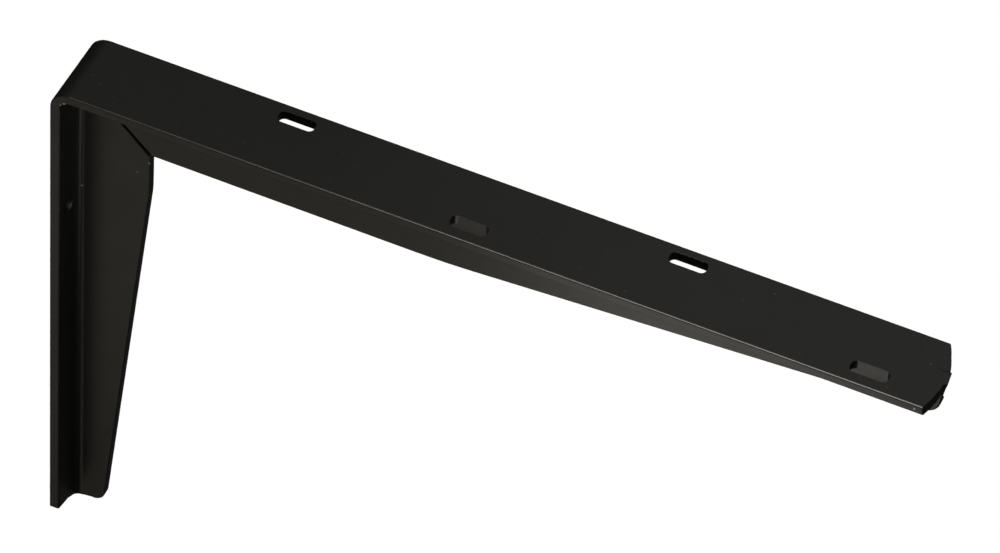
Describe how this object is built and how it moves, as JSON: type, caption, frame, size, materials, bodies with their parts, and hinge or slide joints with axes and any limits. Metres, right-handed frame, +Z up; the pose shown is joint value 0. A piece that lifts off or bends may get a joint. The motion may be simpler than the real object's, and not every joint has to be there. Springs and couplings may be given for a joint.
{
  "type": "shelf bracket",
  "caption": "One-piece L-shaped steel wall bracket bent from tee bar, with a long slotted arm that carries a shelf and a shorter leg with screw holes.",
  "frame": {"origin": "on the wall face of the leg, in the middle of its flange, level with the upper screw hole", "axes": "+X out from the wall along the arm, +Z up to the shelf, +Y across the flange away from the near edge"},
  "size_m": [0.525, 0.0508, 0.3625],
  "materials": {
    "black_coat": "satin black powder coat on steel"
  },
  "bodies": {
    "root": {"bracket": "black_coat"}
  },
  "joints": []
}
